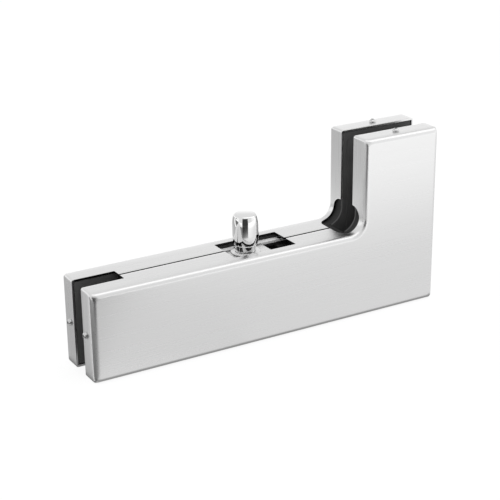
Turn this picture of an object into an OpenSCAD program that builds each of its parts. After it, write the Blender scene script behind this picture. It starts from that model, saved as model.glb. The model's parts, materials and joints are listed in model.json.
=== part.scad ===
// Pivot patch fitting: an L-shaped glass clamp with an adjustable pivot pin.
// X runs along the arm, Y across the glass, Z up. Y = 0 is the middle of the glass.
// The origin is under the middle of the arm, on the surface that the fitting stands on.

/* [Covers] */
// Length of the arm, from its free end to the far side of the upright
arm_l = 222; // [190:1:260]
// Height of the arm
arm_h = 51; // [49:0.5:60]
// Width of the upright
up_w = 51; // [46:0.5:60]
// Height of the upright, from the bottom of the arm
up_h = 106; // [100:1:130]
// Thickness of the whole fitting across the glass
total_t = 37.5; // [36:0.5:44]
// Sheet thickness of the covers
sheet = 1.2; // [0.8:0.1:1.6]
// Outer bend radius round the front face
bend_r = 3; // [2.2:0.1:4]
// Radius of the outer corners in the flanges
edge_r = 1; // [0.5:0.1:1.5]
// Radius of the inner corner between arm and upright
inner_r = 8.5; // [6:0.5:10]
// Gap between a cover's flanges and the body inside
cover_clear = 0.4; // [0.2:0.05:0.6]
// Hairline gap between the two wide flanges
flange_gap = 1.3; // [0.2:0.1:1.6]

/* [Glass slot] */
// Width of the slot that takes the glass
slot_w = 12; // [10:0.5:13]
// Length of the open slot in the arm's top at its free end
notch_l = 25; // [18:0.5:32]
// Thickness of a gasket with its pad
gasket_t = 1.5; // [1.2:0.1:2]
// Height of the raised pad on a gasket
pad_rise = 0.4; // [0.2:0.1:0.8]
// Margin between a gasket's edge and its pad
pad_inset = 3; // [2:0.25:3.5]
// Corner radius of a pad
pad_r = 3; // [1:0.25:3.5]
// Gap between a gasket and the raised block of its body
gasket_clear = 0.5; // [0.3:0.1:1]

/* [Window and relief] */
// Length of the pivot window along the arm
win_l = 39.5; // [36:0.5:44]
// Width of the pivot window across both covers
win_w = 23; // [22:0.5:26]
// Distance from the pivot back to the window's near end
win_back = 13.5; // [13:0.25:16]
// Length of the corner relief along the arm
relief_l = 11.5; // [9:0.5:14]
// Height of the corner relief up the upright
relief_h = 13.5; // [9:0.5:16]
// Width of the corner relief across both covers
relief_w = 26; // [18:0.5:27]
// Corner radius of the relief
relief_r = 6.5; // [3:0.5:8]

/* [Clamp bodies] */
// Depth of the raised block below the top of the arm
block_depth = 33; // [31:0.5:36]
// Distance from the slot's end to the block
block_start = 3; // [2:0.5:6]
// Distance from the block's end to the upright
block_end = 6; // [4:0.5:10]
// Height of the clamp screws above the block's lower face
clamp_rise = 7; // [6:0.25:8]
// Distance of the outer clamp screws from the block's ends
clamp_margin = 14; // [12:0.5:18]

/* [Pivot] */
// Distance from the upright to the pivot axis
pivot_off = 68; // [66:0.5:72]
// Diameter of the pivot pin
pin_d = 15; // [14:0.1:16]
// Length of the pin's cylindrical land
land_l = 5; // [4:0.25:6]
// Height of the pin above the top of the arm
pin_proud = 19.6; // [17:0.1:22]
// Length of the barrel
barrel_l = 17.8; // [15.5:0.1:18.5]
// Diameter of the barrel's lower end
barrel_foot_d = 13.4; // [13:0.1:13.8]
// Diameter of the barrel's upper end
barrel_head_d = 12.8; // [12.4:0.1:13.4]
// Radius that rounds the barrel's upper edge
head_r = 1.3; // [0.6:0.1:1.6]
// Diameter of the neck under the barrel
neck_d = 11.8; // [11.2:0.1:12.4]
// Diameter of the shank in the bush
shank_d = 10; // [9:0.1:10.6]
// Length of the shank below the carrier
tail_l = 5; // [4.5:0.1:5.5]
// Outer diameter of the bush
bush_d = 13; // [12.2:0.1:13.6]
// Diameter of the bush's flange
bush_flange_d = 17; // [15:0.1:17.5]
// Thickness of the bush's flange
bush_flange_t = 1; // [0.6:0.1:1.4]
// Radial running clearance of the pin in its bush
run_clear = 0.05; // [0.02:0.01:0.09]
// End play of the pin
end_play = 0.1; // [0.05:0.05:0.2]

/* [Carrier] */
// Depth of the carrier's top below the top of the arm
seat_drop = 3.3; // [2.6:0.1:3.8]
// Length of the carrier
carrier_l = 28; // [26:0.5:30]
// Width of the carrier's raised middle
carrier_w = 14.6; // [14:0.1:15.2]
// Width of the carrier's base
carrier_base_w = 19.4; // [18.6:0.1:20]
// Height of the carrier's base
carrier_base_h = 6.4; // [5.5:0.1:7]
// Travel towards the arm's free end
travel_back = 5; // [3:0.5:6]
// Travel towards the upright
travel_fore = 10; // [8:0.5:11]
// Clearance all round the sliding carrier
slide_clear = 0.3; // [0.2:0.05:0.5]
// Thickness of the guide strips
strip_t = 3; // [2.4:0.1:3.4]
// Length of a guide strip beyond the carrier's travel
strip_end = 8; // [7:0.5:10]

/* [Fasteners] */
// Shank diameter of the clamp screws
clamp_d = 8; // [6:0.5:8]
// Head diameter of the clamp screws
clamp_head_d = 13; // [11:0.5:13]
// Head height of the clamp screws
clamp_head_h = 5; // [4:0.25:5.5]
// Hexagon across corners of the clamp screws
clamp_hex = 5.8; // [4:0.1:6]
// Depth of the hexagon in the clamp screws
clamp_hex_h = 2.5; // [2:0.25:3]
// Depth that a clamp screw's head lies below the body's outer face
clamp_sink = 0.4; // [0.2:0.1:1]
// Reach of the clamp screws past the middle of the glass
clamp_reach = 14; // [11:0.5:15]
// Diameter of the clamp washers
washer_d = 15; // [14:0.5:16]
// Thickness of the clamp washers
washer_t = 1; // [0.8:0.1:1.6]
// Outer diameter of the sleeve in the side panel
sleeve_d = 14; // [12:0.5:18]
// Diameter of the locating dowels
dowel_d = 6; // [4:0.5:6]
// Length of the locating dowels
dowel_l = 20; // [14:1:24]
// Diameter of the carrier's lock screws
lock_d = 6; // [5:0.5:6]
// Distance between the lock screws
lock_pitch = 9; // [8:0.5:12]
// Hexagon across corners of the lock screws
lock_hex = 3.4; // [2.5:0.1:4]
// Depth of the hexagon in the lock screws
lock_hex_h = 3.5; // [2.5:0.25:4]
// Diameter of the cover screws
cover_screw_d = 3; // [2.5:0.1:3.5]
// Length of the cover screws under the head
cover_screw_l = 10; // [8:0.5:12]
// Height of a cover screw's domed head
cover_head_h = 2.2; // [1.6:0.1:2.4]
// Height of the straight rim of a cover screw's head
cover_rim_h = 0.4; // [0.2:0.1:0.8]
// Overhang of a cover screw's head beyond its shank
cover_lip = 0.5; // [0.5:0.05:0.9]
// Hexagon across corners of the cover screws
cover_hex = 1.7; // [1.2:0.1:2]
// Depth of the hexagon in the cover screws
cover_hex_h = 1.5; // [1:0.1:2]
// Distance of the end cover screws from the middle of the glass
end_screw_y = 10; // [9.6:0.1:11]
// Distance of the top cover screws from the middle of the glass
top_screw_y = 11.4; // [10:0.1:12.5]
// Shank diameter of the strip screws
strip_screw_d = 2; // [1.6:0.1:2]
// Head diameter of the strip screws
strip_head_d = 3; // [2.6:0.1:3.2]
// Hexagon across corners of the strip screws
strip_hex = 1; // [0.8:0.1:1.2]
// Length of the strip screws
strip_screw_l = 8; // [6:0.5:9]
// Radial play of a screw or dowel in its hole
screw_play = 0.1; // [0.05:0.05:0.2]
// Radial clearance where a screw passes freely
free_play = 0.3; // [0.2:0.05:0.4]
// Diameter of the thrust washer
thrust_d = 15; // [14:0.5:16]
// Thickness of the thrust washer
thrust_t = 1; // [0.8:0.1:1.2]
// Diameter of the retaining ring
ring_d = 14; // [13:0.5:15]
// Thickness of the retaining ring
ring_t = 1; // [0.8:0.1:1.2]
// Depth of the pin's groove for the retaining ring
ring_groove = 0.5; // [0.3:0.1:0.8]
// Opening of the retaining ring
ring_open = 5; // [3:0.5:7]

/* [Hidden] */
$fn = 64;

steel = [0.80, 0.80, 0.80];
black = [0.16, 0.16, 0.16];
polished = [0.92, 0.92, 0.93];
zinc = [0.70, 0.71, 0.72];
nylon = [0.90, 0.90, 0.88];

// Overcut that keeps a cutter clear of the faces it passes through
over = 1;
x_l = -arm_l / 2;
x_r = arm_l / 2;
x_up = x_r - up_w;
x_upm = x_up + up_w / 2;
z_upm = (arm_h + up_h) / 2;
y_out = total_t / 2;
y_slot = slot_w / 2;
body_in = sheet + cover_clear;
y_body = y_out - sheet;
y_gasket = y_slot + gasket_t;

// Pivot and carrier
x_piv = x_up - pivot_off;
z_seat = arm_h - seat_drop;
z_strip = z_seat - strip_t;
z_base1 = z_strip - slide_clear;
z_base0 = z_base1 - carrier_base_h;
z_channel = z_base0 - slide_clear;
x_ch0 = x_piv - carrier_l / 2 - travel_back - slide_clear;
x_ch1 = x_piv + carrier_l / 2 + travel_fore + slide_clear;
x_st0 = x_ch0 - strip_end;
x_st1 = x_ch1 + strip_end;
y_strip0 = carrier_w / 2 + slide_clear;
y_strip1 = win_w / 2;
y_channel = carrier_base_w / 2 + slide_clear;
z_flange = z_seat + bush_flange_t;
z_shoulder = z_flange + end_play;
z_pin = arm_h + pin_proud;
z_barrel = z_pin - barrel_l;
z_tail = z_base0 - tail_l;
z_thrust = z_base0 - end_play - thrust_t;
z_ring = z_thrust - end_play - ring_t;
// Room past the tip of a screw or shank
tip_clear = 1;
z_cavity = z_tail - tip_clear;
cavity_r = max(thrust_d, ring_d) / 2 + slide_clear;

// Window
x_win0 = x_piv - win_back;
x_win1 = x_win0 + win_l;

// Raised block and the fasteners in it
x_b0 = x_l + notch_l + block_start;
x_b1 = x_up - block_end;
z_b0 = arm_h - block_depth;
z_clamp = z_b0 + clamp_rise;
x_clamps = [x_b0 + clamp_margin, (x_b0 + x_b1) / 2, x_b1 - clamp_margin];
x_dowels = [(x_clamps[0] + x_clamps[1]) / 2, (x_clamps[1] + x_clamps[2]) / 2];
clamp_places = [for (x = x_clamps) [x, z_clamp], [x_upm, z_upm]];
y_head = y_body - clamp_sink - clamp_head_h;
y_seat = y_head - washer_t;
x_lock = x_piv + (travel_fore - travel_back) / 2;
z_lock = (z_base0 + z_base1) / 2;
lock_l = y_body - clamp_sink - carrier_base_w / 2 - screw_play;
y_strip_screw = (y_strip0 + y_strip1) / 2;
x_strip_screws = [x_st0 + strip_end / 2, x_st1 - strip_end / 2];

// Helpers

// Radius of the arc that falls by drop over a length, starting square to it
function crown_r(long, drop) = (long * long + drop * drop) / (2 * drop);

// Box between two corners
module span(low, high) {
    translate(low) cube(high - low);
}

// Flat outline in X and Z, given depth between two Y values
module slab(y0, y1) {
    translate([0, y1, 0]) rotate([90, 0, 0]) linear_extrude(y1 - y0) children();
}

// Round bar along Y
module bar_y(x, z, d, y0, y1) {
    translate([x, y0, z]) rotate([-90, 0, 0]) cylinder(d = d, h = y1 - y0);
}

// Rectangle with all corners rounded
module round_rect(x0, z0, x1, z1, r) {
    translate([x0 + r, z0]) square([x1 - x0 - 2 * r, z1 - z0]);
    translate([x0, z0 + r]) square([x1 - x0, z1 - z0 - 2 * r]);
    for (x = [x0 + r, x1 - r], z = [z0 + r, z1 - r]) translate([x, z]) circle(r);
}

// Outline of the L, moved inwards by inset
module ell(inset, r) {
    round_rect(x_l + inset, inset, x_r - inset, arm_h - inset, r);
    round_rect(x_up + inset, inset, x_r - inset, up_h - inset, r);
    difference() {
        translate([x_up - inner_r, arm_h - inset - r]) square(inner_r + inset + r);
        translate([x_up - inner_r, arm_h + inner_r]) circle(inner_r + inset);
    }
}

// Section across a fold: flat at the back, both front edges bent to radius r
module fold_section(v0, v1, y0, y1, r) {
    translate([y0 + r, v0]) square([y1 - y0 - r, v1 - v0]);
    translate([y0, v0 + r]) square([y1 - y0, v1 - v0 - 2 * r]);
    for (v = [v0 + r, v1 - r]) translate([y0 + r, v]) circle(r);
}

// Block whose four front edges are bent to radius r
module folded_block(x0, x1, z0, z1, y0, y1, r) {
    intersection() {
        translate([x0, 0, 0]) rotate([90, 0, 90]) linear_extrude(x1 - x0)
            fold_section(z0, z1, y0, y1, r);
        translate([0, 0, z0]) linear_extrude(z1 - z0) mirror([1, -1, 0])
            fold_section(x0, x1, y0, y1, r);
    }
}

// Space left by the inner corner, widening like a bell through the bend
module corner_bell(r_in, y0, y1, r) {
    translate([x_up - inner_r, 0, arm_h + inner_r]) rotate([-90, 0, 0]) rotate_extrude() {
        translate([0, y0 - over]) square([r_in, y1 - y0 + 2 * over]);
        difference() {
            translate([0, y0 - over]) square([r_in + r, r + over]);
            translate([r_in + r, y0 + r]) circle(r);
        }
    }
}

// Solid L of the front half, moved inwards by inset, with its front face at y0
module ell_solid(inset, y0, y1) {
    r = bend_r - inset;
    intersection() {
        union() {
            folded_block(x_l + inset, x_r - inset, inset, arm_h - inset, y0, y1, r);
            folded_block(x_up + inset, x_r - inset, inset, up_h - inset, y0, y1, r);
            difference() {
                span([x_up - inner_r, y0, arm_h - inset - r],
                     [x_up + inset + r, y1, arm_h + inner_r]);
                corner_bell(inner_r + inset, y0, y1, r);
            }
        }
        slab(y0 - over, y1 + over) ell(inset, edge_r);
    }
}

// Rectangle from u = 0 to u = long, with the two corners at the far end rounded
module relief_outline(long) {
    half = relief_w / 2;
    translate([-half, 0]) square([relief_w, long - relief_r]);
    translate([relief_r - half, 0]) square([relief_w - 2 * relief_r, long]);
    for (side = [-1, 1])
        translate([side * (half - relief_r), long - relief_r]) circle(relief_r);
}

// Relief through the flanges at the inner corner
module corner_relief() {
    translate([x_up, 0, arm_h - sheet - over]) linear_extrude(relief_h + sheet + over)
        rotate(90) relief_outline(relief_l);
    translate([x_up - relief_l, 0, arm_h]) rotate([90, 0, 90])
        linear_extrude(relief_l + sheet + over) relief_outline(relief_h);
}

// Places of the cover screws of one half, each along its own axis and pointing out
module at_cover_screws() {
    translate([x_l, -end_screw_y, arm_h / 2]) rotate([0, -90, 0]) children();
    translate([x_upm, -top_screw_y, up_h]) children();
}

// Hole for a cover screw, from below its tip to outside the cover
module cover_screw_hole(r, tip) {
    translate([0, 0, -tip]) cylinder(r = r, h = tip + over);
}

// Covers

module cover() {
    color(steel) difference() {
        union() {
            difference() {
                ell_solid(0, -y_out, -y_slot);
                ell_solid(sheet, -y_body, -y_slot + over);
            }
            span([x_l + notch_l, -y_slot - over, arm_h - sheet], [x_up, -flange_gap / 2, arm_h]);
        }
        span([x_win0, -win_w / 2, arm_h - sheet - over], [x_win1, over, arm_h + over]);
        corner_relief();
        at_cover_screws() cover_screw_hole(cover_screw_d / 2 + free_play, sheet + over);
    }
}

module front_cover() {
    cover();
}

module rear_cover() {
    mirror([0, 1, 0]) cover();
}

// Clamp bodies

// Front half of the two bodies before their screw holes
module half_body() {
    difference() {
        union() {
            ell_solid(body_in, -y_body, -y_gasket);
            span([x_b0, -y_gasket - over, z_b0], [x_b1, 0, arm_h - body_in]);
        }
        span([x_st0, -win_w / 2, z_strip], [x_st1, over, arm_h]);
        span([x_ch0, -y_channel, z_channel], [x_ch1, over, z_strip + over]);
        span([x_piv - travel_back - cavity_r, -cavity_r, z_cavity],
             [x_piv + travel_fore + cavity_r, over, z_channel + over]);
        for (x = x_dowels) bar_y(x, z_clamp, dowel_d + 2 * screw_play, -dowel_l / 2, over);
        for (x = x_strip_screws)
            translate([x, -y_strip_screw, z_seat - strip_screw_l])
                cylinder(d = strip_screw_d + 2 * screw_play, h = strip_screw_l);
        at_cover_screws()
            cover_screw_hole(cover_screw_d / 2 + screw_play, cover_screw_l + tip_clear);
    }
}

module front_clamp_body() {
    color(black) difference() {
        half_body();
        for (p = clamp_places) {
            bar_y(p[0], p[1], clamp_d + 2 * free_play, -y_out, over);
            bar_y(p[0], p[1], washer_d + 2 * free_play, -y_out, -y_seat);
        }
        for (side = [-1, 1])
            bar_y(x_lock + side * lock_pitch / 2, z_lock, lock_d + 2 * screw_play, -y_out, 0);
    }
}

module rear_clamp_body() {
    color(black) difference() {
        mirror([0, 1, 0]) half_body();
        for (p = clamp_places) bar_y(p[0], p[1], clamp_d + 2 * screw_play, -over, clamp_reach);
    }
}

// Gaskets

// Outline of a gasket: the L without the raised block
module gasket_outline() {
    difference() {
        ell(body_in, edge_r);
        translate([x_b0 - gasket_clear, z_b0 - gasket_clear])
            square([x_b1 - x_b0 + 2 * gasket_clear, arm_h]);
    }
}

// Outline of the raised pad: free end, lower strip and upright
module pad_outline() {
    low = body_in + pad_inset;
    round_rect(x_l + low, low, x_b0 - gasket_clear - pad_inset, arm_h - low, pad_r);
    round_rect(x_l + low, low, x_r - low, z_b0 - gasket_clear - pad_inset, pad_r);
    round_rect(x_up + low, low, x_r - low, up_h - low, pad_r);
}

module gasket() {
    color(black) difference() {
        union() {
            slab(-y_gasket, -y_slot - pad_rise) gasket_outline();
            slab(-y_slot - pad_rise, -y_slot) pad_outline();
        }
        bar_y(x_upm, z_upm, sleeve_d + 2 * free_play, -y_gasket - over, 0);
    }
}

module front_gasket() {
    gasket();
}

module rear_gasket() {
    mirror([0, 1, 0]) gasket();
}

// Guide strips of the carrier

module guide_strip() {
    color(zinc) difference() {
        span([x_st0, -y_strip1, z_strip], [x_st1, -y_strip0, z_seat]);
        for (x = x_strip_screws) translate([x, -y_strip_screw, 0]) strip_screw_cut();
    }
}

module strip_screw_cut() {
    head_h = (strip_head_d - strip_screw_d) / 2;
    translate([0, 0, z_strip - over]) cylinder(d = strip_screw_d + 2 * screw_play, h = strip_t + 2 * over);
    translate([0, 0, z_seat - head_h])
        cylinder(d1 = strip_screw_d + 2 * screw_play, d2 = strip_head_d + 2 * screw_play, h = head_h);
}

module front_guide_strip() {
    guide_strip();
}

module rear_guide_strip() {
    mirror([0, 1, 0]) guide_strip();
}

module strip_screws() {
    head_h = (strip_head_d - strip_screw_d) / 2;
    color(zinc) for (side = [-1, 1], x = x_strip_screws)
        translate([x, side * y_strip_screw, z_seat]) difference() {
            union() {
                translate([0, 0, -strip_screw_l]) cylinder(d = strip_screw_d, h = strip_screw_l);
                translate([0, 0, -head_h]) cylinder(d1 = strip_screw_d, d2 = strip_head_d, h = head_h);
            }
            translate([0, 0, -head_h]) cylinder(d = strip_hex, h = head_h + over, $fn = 6);
        }
}

// Fasteners of the clamp

module clamp_screws() {
    color(zinc) for (p = clamp_places) difference() {
        union() {
            bar_y(p[0], p[1], clamp_head_d, -y_head - clamp_head_h, -y_head);
            bar_y(p[0], p[1], clamp_d, -y_head - over, clamp_reach - tip_clear);
        }
        translate([p[0], -y_head - clamp_head_h - over, p[1]]) rotate([-90, 0, 0])
            cylinder(d = clamp_hex, h = clamp_hex_h + over, $fn = 6);
    }
}

module clamp_washers() {
    color(zinc) for (p = clamp_places) difference() {
        bar_y(p[0], p[1], washer_d, -y_head, -y_seat);
        bar_y(p[0], p[1], clamp_d + 2 * free_play, -y_head - over, -y_seat + over);
    }
}

module locating_dowels() {
    color(zinc) for (x = x_dowels)
        bar_y(x, z_clamp, dowel_d, screw_play - dowel_l / 2, dowel_l / 2 - screw_play);
}

// The sleeve passes through both gaskets and stops just short of the bodies
module glass_sleeve() {
    reach = y_gasket - screw_play;
    color(nylon) difference() {
        bar_y(x_upm, z_upm, sleeve_d, -reach, reach);
        bar_y(x_upm, z_upm, clamp_d + 2 * free_play, -reach - over, reach + over);
    }
}

module lock_screws() {
    tip = carrier_base_w / 2 + screw_play;
    color(zinc) for (side = [-1, 1]) translate([x_lock + side * lock_pitch / 2, 0, z_lock])
        difference() {
            bar_y(0, 0, lock_d, -tip - lock_l, -tip);
            translate([0, -tip - lock_l - over, 0]) rotate([-90, 0, 0])
                cylinder(d = lock_hex, h = lock_hex_h + over, $fn = 6);
        }
}

// Half section of a cover screw's head: a straight rim with a dome on it
module cover_head_section() {
    r = cover_screw_d / 2 + cover_lip;
    dome_h = cover_head_h - cover_rim_h;
    dome_r = crown_r(r, dome_h);
    square([r, cover_rim_h]);
    intersection() {
        translate([0, cover_rim_h]) square([r, dome_h]);
        translate([0, cover_head_h - dome_r]) circle(dome_r);
    }
}

module cover_screws() {
    color(zinc) for (half = [0, 1]) mirror([0, half, 0]) at_cover_screws() difference() {
        union() {
            translate([0, 0, -cover_screw_l]) cylinder(d = cover_screw_d, h = cover_screw_l + cover_rim_h);
            rotate_extrude() cover_head_section();
        }
        translate([0, 0, cover_head_h - cover_hex_h])
            cylinder(d = cover_hex, h = cover_hex_h + over, $fn = 6);
    }
}

// Pivot

module pivot_carrier() {
    color(polished) difference() {
        union() {
            span([x_piv - carrier_l / 2, -carrier_base_w / 2, z_base0],
                 [x_piv + carrier_l / 2, carrier_base_w / 2, z_base1]);
            span([x_piv - carrier_l / 2, -carrier_w / 2, z_base0],
                 [x_piv + carrier_l / 2, carrier_w / 2, z_seat]);
        }
        translate([x_piv, 0, z_base0 - over])
            cylinder(d = bush_d + 2 * run_clear, h = z_seat - z_base0 + 2 * over);
    }
}

module pivot_bush() {
    color(zinc) translate([x_piv, 0, 0]) difference() {
        union() {
            translate([0, 0, z_base0]) cylinder(d = bush_d, h = z_flange - z_base0);
            translate([0, 0, z_seat]) cylinder(d = bush_flange_d, h = bush_flange_t);
        }
        translate([0, 0, z_base0 - over])
            cylinder(d = shank_d + 2 * run_clear, h = z_flange - z_base0 + 2 * over);
    }
}

module thrust_washer() {
    color(zinc) translate([x_piv, 0, z_thrust]) difference() {
        cylinder(d = thrust_d, h = thrust_t);
        translate([0, 0, -over]) cylinder(d = shank_d + 2 * free_play, h = thrust_t + 2 * over);
    }
}

// Half section of the barrel: a straight land, with one arc below it and one above
module barrel_section() {
    r = pin_d / 2;
    ends = (barrel_l - land_l) / 2;
    foot_r = crown_r(ends, r - barrel_foot_d / 2);
    top_r = crown_r(ends, r - barrel_head_d / 2);
    translate([0, z_barrel + ends]) square([r, land_l]);
    intersection() {
        translate([0, z_barrel]) square([r, ends]);
        translate([r - foot_r, z_barrel + ends]) circle(foot_r);
    }
    intersection() {
        translate([0, z_pin - ends]) square([r, ends]);
        translate([r - top_r, z_pin - ends]) circle(top_r);
        union() {
            translate([0, z_pin - ends]) square([r, ends - head_r]);
            translate([0, z_pin - ends]) square([barrel_head_d / 2 - head_r, ends]);
            translate([barrel_head_d / 2 - head_r, z_pin - head_r]) circle(head_r);
        }
    }
}

module pivot_pin() {
    color(polished) translate([x_piv, 0, 0]) difference() {
        union() {
            rotate_extrude() barrel_section();
            translate([0, 0, z_shoulder]) cylinder(d = neck_d, h = z_barrel - z_shoulder + over);
            translate([0, 0, z_tail]) cylinder(d = shank_d, h = z_barrel - z_tail);
        }
        translate([0, 0, z_ring]) difference() {
            cylinder(d = shank_d + over, h = ring_t);
            cylinder(d = shank_d - 2 * ring_groove, h = ring_t);
        }
    }
}

// Snap ring, open towards the arm's free end
module retaining_ring() {
    color(zinc) translate([x_piv, 0, z_ring]) difference() {
        cylinder(d = ring_d, h = ring_t);
        translate([0, 0, -over])
            cylinder(d = shank_d - 2 * ring_groove + 2 * run_clear, h = ring_t + 2 * over);
        span([-ring_d, -ring_open / 2, -over], [0, ring_open / 2, ring_t + over]);
    }
}

front_cover();
rear_cover();
front_clamp_body();
rear_clamp_body();
front_gasket();
rear_gasket();
front_guide_strip();
rear_guide_strip();
strip_screws();
clamp_screws();
clamp_washers();
locating_dowels();
glass_sleeve();
lock_screws();
cover_screws();
pivot_carrier();
pivot_bush();
thrust_washer();
pivot_pin();
retaining_ring();
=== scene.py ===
"""Pivot patch fitting: its pressed covers, its turned and threaded pieces, its finishes and a plain stage."""

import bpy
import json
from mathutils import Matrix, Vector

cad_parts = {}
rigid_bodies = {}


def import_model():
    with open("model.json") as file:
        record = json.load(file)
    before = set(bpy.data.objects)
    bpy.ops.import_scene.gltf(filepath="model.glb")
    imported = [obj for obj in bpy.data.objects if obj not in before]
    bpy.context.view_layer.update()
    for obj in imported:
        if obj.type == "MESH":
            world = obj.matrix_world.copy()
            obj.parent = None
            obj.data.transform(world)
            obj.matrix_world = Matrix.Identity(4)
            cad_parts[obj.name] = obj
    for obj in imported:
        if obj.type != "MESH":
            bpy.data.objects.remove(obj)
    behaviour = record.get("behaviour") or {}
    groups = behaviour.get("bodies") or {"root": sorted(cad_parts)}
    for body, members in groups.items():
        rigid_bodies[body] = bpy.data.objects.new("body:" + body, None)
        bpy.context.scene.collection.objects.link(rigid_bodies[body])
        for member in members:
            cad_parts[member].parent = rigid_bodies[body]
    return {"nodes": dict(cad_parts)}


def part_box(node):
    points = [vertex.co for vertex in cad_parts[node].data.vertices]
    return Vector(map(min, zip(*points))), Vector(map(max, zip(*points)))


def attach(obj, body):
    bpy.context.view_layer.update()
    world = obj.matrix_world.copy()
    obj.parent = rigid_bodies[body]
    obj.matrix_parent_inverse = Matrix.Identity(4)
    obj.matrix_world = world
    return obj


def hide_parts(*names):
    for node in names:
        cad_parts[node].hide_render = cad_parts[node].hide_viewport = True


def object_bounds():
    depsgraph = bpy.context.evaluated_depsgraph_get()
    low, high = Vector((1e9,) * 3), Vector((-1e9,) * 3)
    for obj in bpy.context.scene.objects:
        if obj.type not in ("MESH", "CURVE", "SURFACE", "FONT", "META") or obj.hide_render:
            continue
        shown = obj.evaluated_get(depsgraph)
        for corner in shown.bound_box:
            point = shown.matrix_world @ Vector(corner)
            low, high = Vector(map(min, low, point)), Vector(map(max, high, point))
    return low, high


bl_info = {
    "name": "Pivot patch fitting",
    "version": (1, 0, 0),
    "blender": (4, 5, 0),
    "location": "View3D > Sidebar > Patch fitting",
    "description": "Finishes, turned pieces and stage of an L-shaped pivot patch fitting",
    "category": "Object",
}

import json

import bpy
import numpy as np
from bpy.props import FloatProperty, FloatVectorProperty, PointerProperty
from bpy.types import Operator, Panel, PropertyGroup
from mathutils import Matrix, Vector

for spare in list(bpy.data.objects):
    bpy.data.objects.remove(spare, do_unlink=True)
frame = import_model()
CAD_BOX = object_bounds()
MM = 0.001


def node_box(node):
    """Lowest and highest corner of a node at rest, as two arrays."""
    low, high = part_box(node)
    return np.array(low), np.array(high)


COVER_LOW, COVER_HIGH = node_box("front_cover")
PIN_LOW, PIN_HIGH = node_box("pivot_pin")
BUSH_LOW, BUSH_HIGH = node_box("pivot_bush")
RING_LOW, RING_HIGH = node_box("retaining_ring")
SCREW_LOW, SCREW_HIGH = node_box("cover_screws")
AXIS = (PIN_LOW + PIN_HIGH) / 2
# Half widths of the glass slot and of the pivot window
SLOT = -node_box("front_gasket")[1][1]
WINDOW = node_box("rear_guide_strip")[1][1]


def length(name, description, millimetres):
    """A length property whose default is given in millimetres."""
    return FloatProperty(name=name, description=description, default=millimetres * MM,
                         precision=5, unit="LENGTH", subtype="DISTANCE")


def colour(name, description, grey):
    """A colour property whose default is a neutral grey."""
    return FloatVectorProperty(name=name, description=description, default=(grey, grey, grey),
                               size=3, min=0.0, max=1.0, subtype="COLOR")


def share(name, description, default):
    """A property between 0 and 1."""
    return FloatProperty(name=name, description=description, default=default,
                         min=0.0, max=1.0, subtype="FACTOR")


class CoverSettings(PropertyGroup):
    """Sizes of the pressed covers."""

    arm: length("Arm", "Height of the arm", 51.0)
    upright: length("Upright", "Width of the upright", 51.0)
    sheet: length("Sheet", "Thickness of the sheet", 1.2)
    bend: length("Bend", "Outer radius of the bend round the face", 3.0)
    corner: length("Corner", "Radius of the corners between the flanges", 1.3)
    face_corner: length("Face corner", "Radius of the corners of the face", 2.6)
    inner: length("Inner corner", "Radius of the corner between arm and upright", 8.5)
    notch: length("Notch", "Length of the open slot at the arm's free end", 25.0)
    window: length("Window", "Length of the pivot window", 39.5)
    window_back: length("Window back", "Distance from the pivot to the window's near end", 13.5)
    relief_along: length("Relief along", "Length of the corner relief along the arm", 11.5)
    relief_up: length("Relief up", "Height of the corner relief up the upright", 13.5)
    relief_half: length("Relief half width", "Half width of the corner relief", 13.0)
    relief_round: length("Relief rounding", "Corner radius of the relief", 6.5)
    cut_round: length("Cut rounding", "Radius of the corners of the other cuts", 0.4)
    deburr: length("Deburring", "Radius that takes off the sheet's cut edges", 0.18)


class PinSettings(PropertyGroup):
    """Sizes of the turned pin and its bush."""

    barrel: length("Barrel", "Length of the barrel", 17.8)
    land: length("Land", "Length of the barrel's straight land", 5.0)
    foot: length("Foot", "Diameter of the barrel's lower end", 13.4)
    head: length("Head", "Diameter of the barrel's upper end", 12.8)
    head_round: length("Head rounding", "Radius of the barrel's upper edge", 1.3)
    foot_round: length("Foot rounding", "Radius of the barrel's lower edge", 0.7)
    neck: length("Neck", "Diameter of the neck under the barrel", 11.8)
    shank: length("Shank", "Diameter of the shank in the bush", 10.0)
    groove: length("Groove", "Depth of the groove for the retaining ring", 0.5)
    chamfer: length("Chamfer", "Chamfer on the turned edges", 0.35)
    end_play: length("End play", "Gap between the bush and the pin's shoulder", 0.1)
    running: length("Running clearance", "Radial clearance of the shank in the bush", 0.05)
    bush: length("Bush", "Outer diameter of the bush below its flange", 13.0)
    flange: length("Flange", "Thickness of the bush's flange", 1.0)


class ScrewSettings(PropertyGroup):
    """Sizes of the cover screws."""

    diameter: length("Diameter", "Outer diameter of the thread", 3.0)
    body: length("Length", "Length of a screw under its head", 10.0)
    pitch: length("Pitch", "Pitch of the thread", 0.5)
    depth: length("Thread depth", "Depth of the thread", 0.3)
    lip: length("Lip", "Overhang of the head beyond the shank", 0.5)
    rim: length("Rim", "Height of the head's straight rim", 0.4)
    chamfer: length("Chamfer", "Chamfer at the tip and under the head", 0.35)
    socket: length("Socket", "Width of the hexagon socket across its corners", 1.7)
    socket_depth: length("Socket depth", "Depth of the hexagon socket", 1.5)
    end_side: length("End screw offset", "Distance of the end screws from the middle of the glass", 10.0)


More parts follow.
